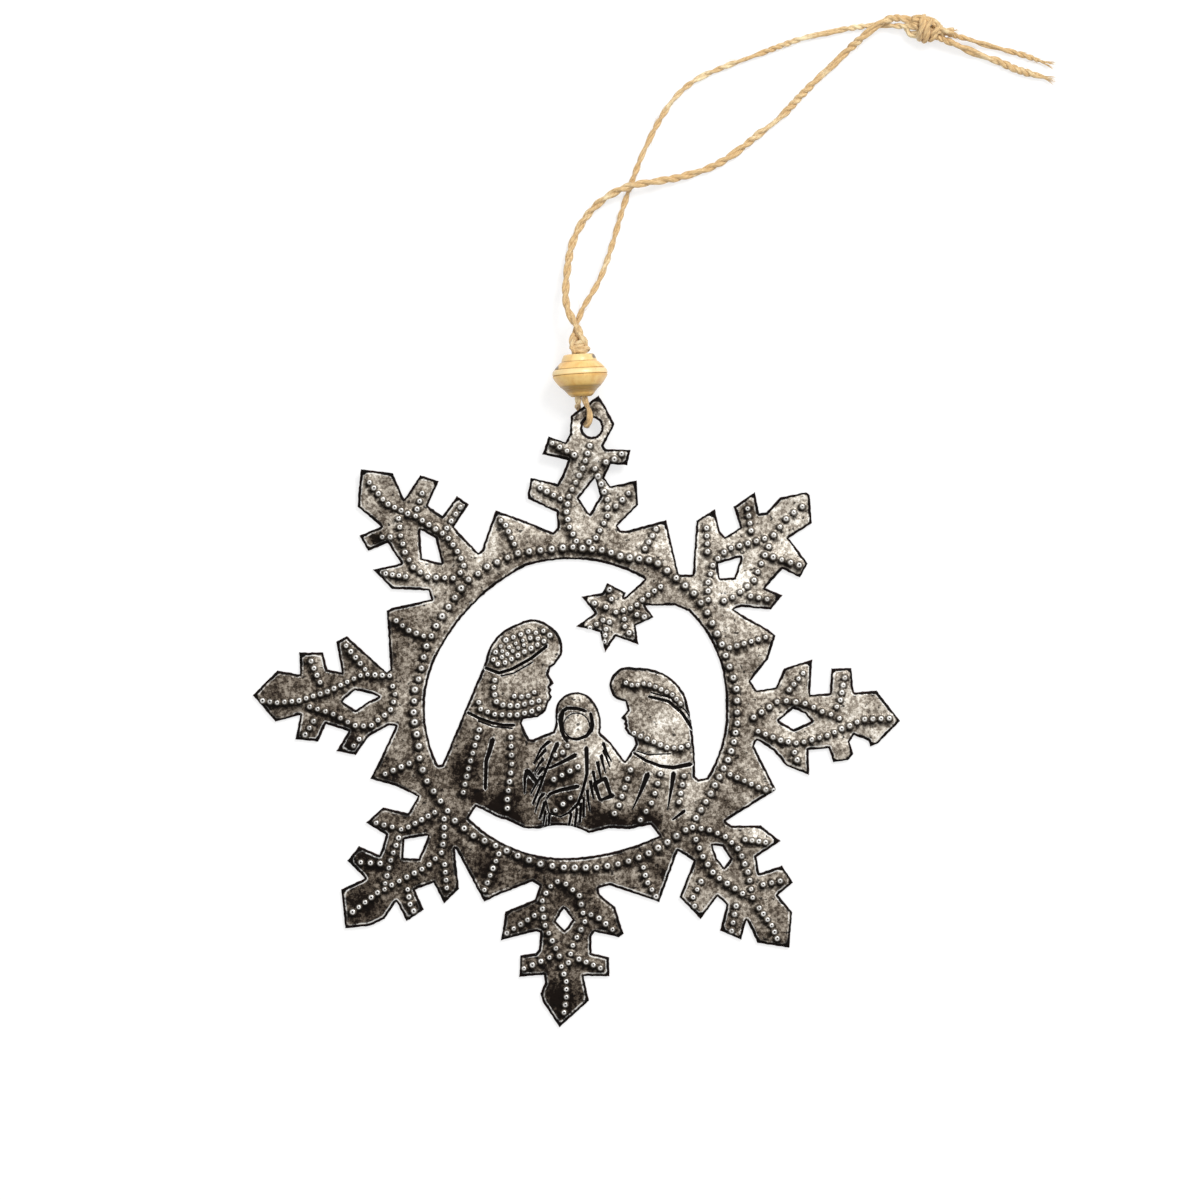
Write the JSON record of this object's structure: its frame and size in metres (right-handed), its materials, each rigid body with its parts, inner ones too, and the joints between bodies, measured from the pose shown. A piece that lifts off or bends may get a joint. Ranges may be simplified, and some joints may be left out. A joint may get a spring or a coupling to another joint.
{
  "type": "hanging ornament",
  "caption": "Snowflake ornament cut from sheet steel with a nativity scene standing in its ring, punched beading, and a twine hanging loop through a turned wooden bead.",
  "frame": {"origin": "the middle of the ring, on the flat back of the sheet", "axes": "+Z out of the punched face, +Y towards the arm that it hangs from, +X to the right seen from the front"},
  "size_m": [0.1564, 0.1988, 0.0108],
  "materials": {
    "worked_steel": "hand-worked, dark in the hollows and bright on the punched beads",
    "bead_wood": "turned, clear satin varnish",
    "jute": "two-ply twisted natural fibre"
  },
  "bodies": {
    "plate": {"snowflake_plate": "worked_steel"},
    "hanger": {"twine_hitch": "jute", "twine_stop_knot": "jute", "twine_left_strand": "jute", "twine_right_strand": "jute", "twine_knot": "jute", "twine_upper_tail": "jute", "twine_lower_tail": "jute"},
    "bead": {"wooden_bead": "bead_wood"}
  },
  "joints": [
    {"name": "hanger_swing", "type": "hinge", "parent": "plate", "child": "hanger", "pos_m": [0.00294, 0.05811, 0.0031], "axis": [1, 0, 0], "range_deg": [0, 110], "deforming": ["twine_hitch"]},
    {"name": "bead_slide", "type": "slide", "parent": "hanger", "child": "bead", "axis": [0.0616, -0.9981, 0], "range_m": [0, 0.0006]}
  ]
}
